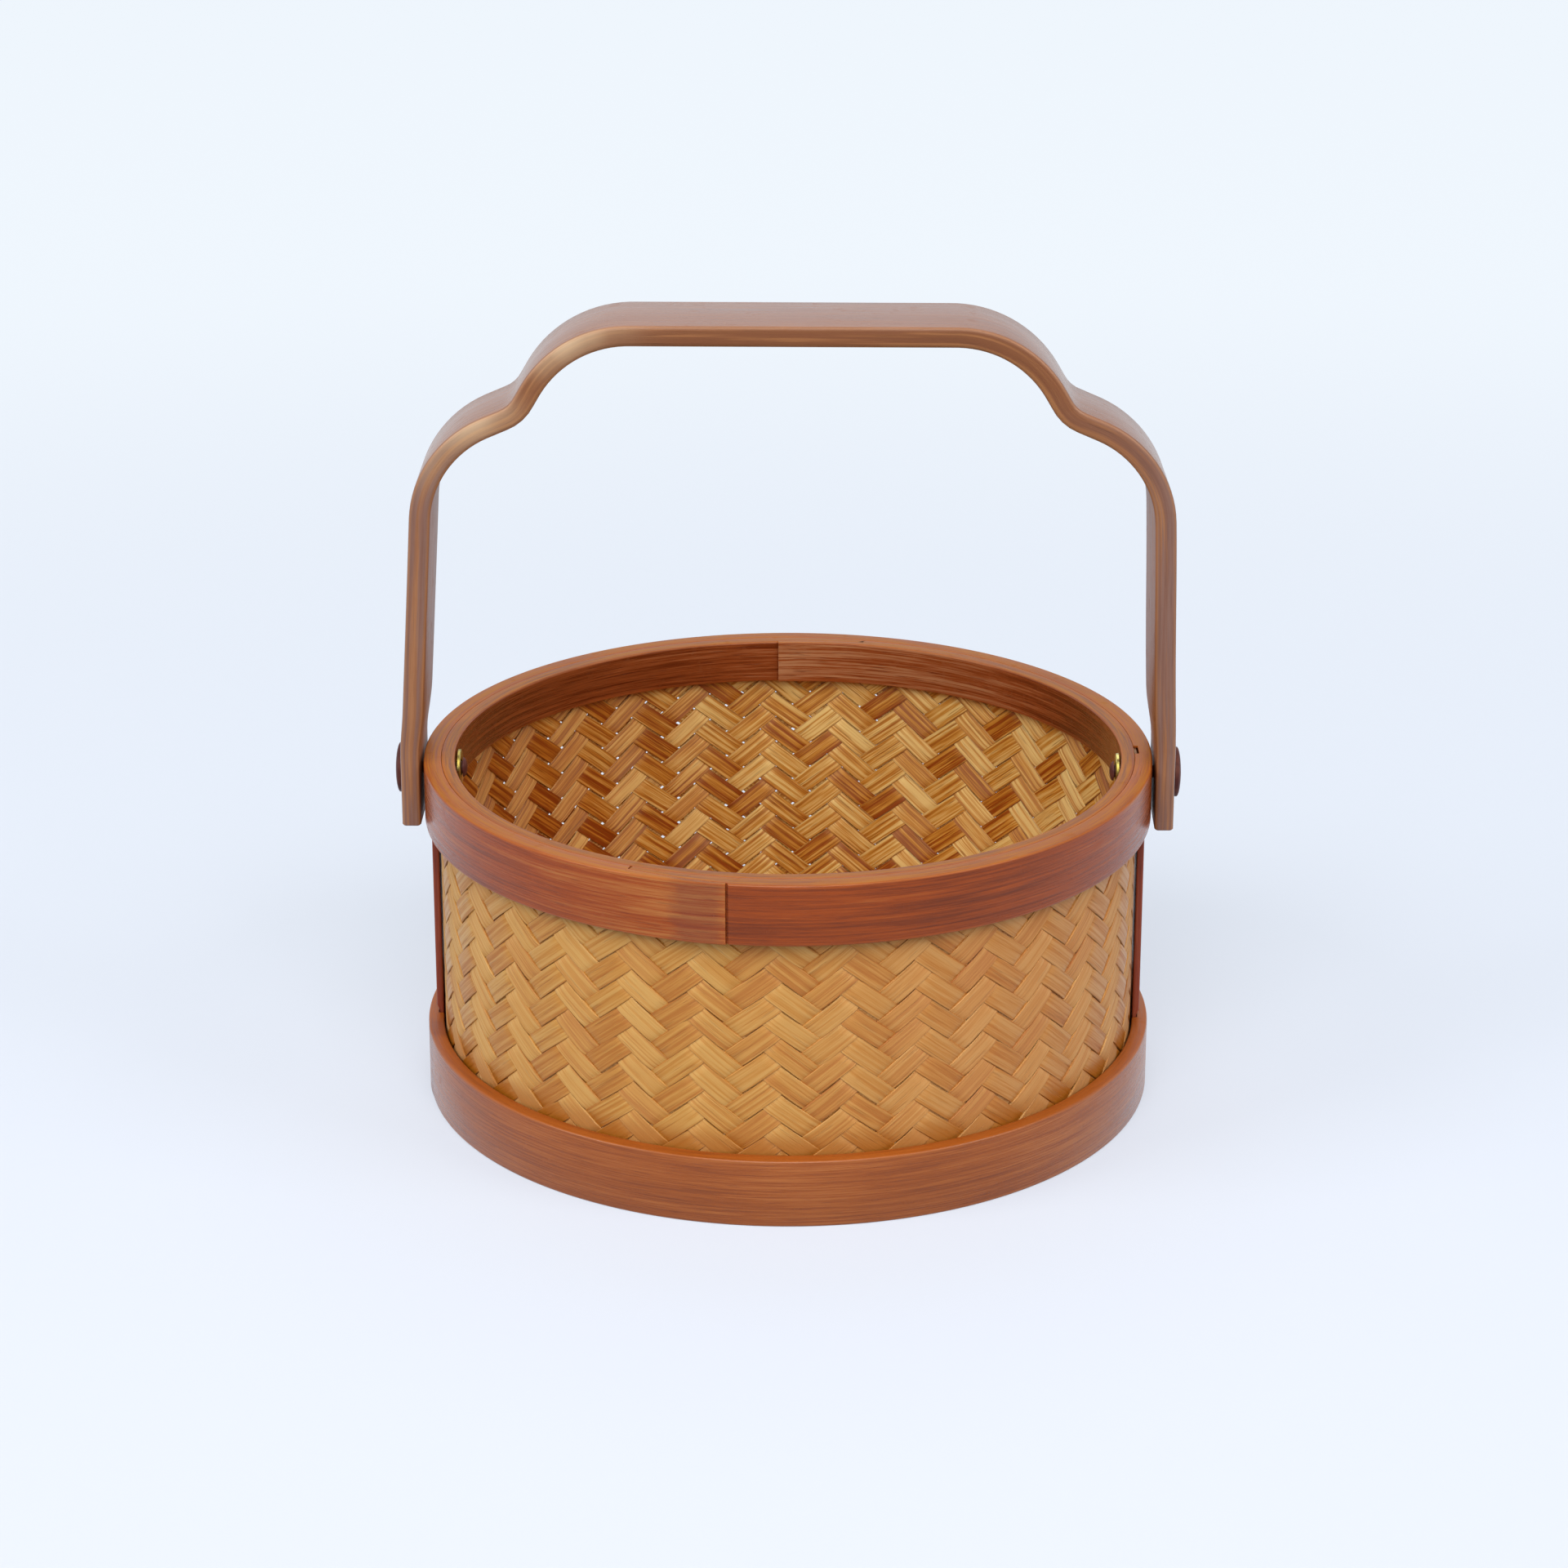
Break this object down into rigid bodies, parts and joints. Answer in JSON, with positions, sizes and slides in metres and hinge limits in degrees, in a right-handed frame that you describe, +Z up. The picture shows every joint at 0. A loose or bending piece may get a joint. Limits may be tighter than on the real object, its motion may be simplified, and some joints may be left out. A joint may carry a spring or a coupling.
{
  "type": "woven bamboo basket",
  "caption": "Small round woven bamboo basket with bent bamboo hoops at rim and foot and a stepped arch handle that swings on two rivets.",
  "frame": {"origin": "centre of the circle that the foot hoop stands on", "axes": "+Z up through the open mouth to the handle's grip, X along the handle's pivot line, -Y towards the side that the picture shows"},
  "size_m": [0.1512, 0.141, 0.153],
  "materials": {
    "bamboo_hoop": "red-brown stained bamboo under satin lacquer",
    "bamboo_handle": "brown stained bamboo under satin lacquer",
    "bamboo_weave": "golden bamboo splints under thin lacquer",
    "lacquered_rivet": "dark brown lacquered rivet",
    "brass": "plain brass washer"
  },
  "bodies": {
    "basket": {"woven_wall": "bamboo_weave", "base_mat": "bamboo_weave", "rim_hoop": "bamboo_hoop", "rim_liner": "bamboo_hoop", "foot_hoop": "bamboo_hoop", "base_hoop": "bamboo_hoop", "base_slat_lengthwise": "bamboo_hoop", "base_slat_crosswise": "bamboo_hoop", "side_slat_left": "bamboo_hoop", "side_slat_right": "bamboo_hoop", "pivot_rivet_left": "lacquered_rivet", "pivot_rivet_right": "lacquered_rivet", "rivet_washer_left": "brass", "rivet_washer_right": "brass"},
    "handle": {"handle": "bamboo_handle"}
  },
  "joints": [
    {"name": "handle_swing", "type": "hinge", "parent": "basket", "child": "handle", "pos_m": [0, 0, 0.063], "axis": [1, 0, 0], "range_deg": [-117, 117]}
  ]
}
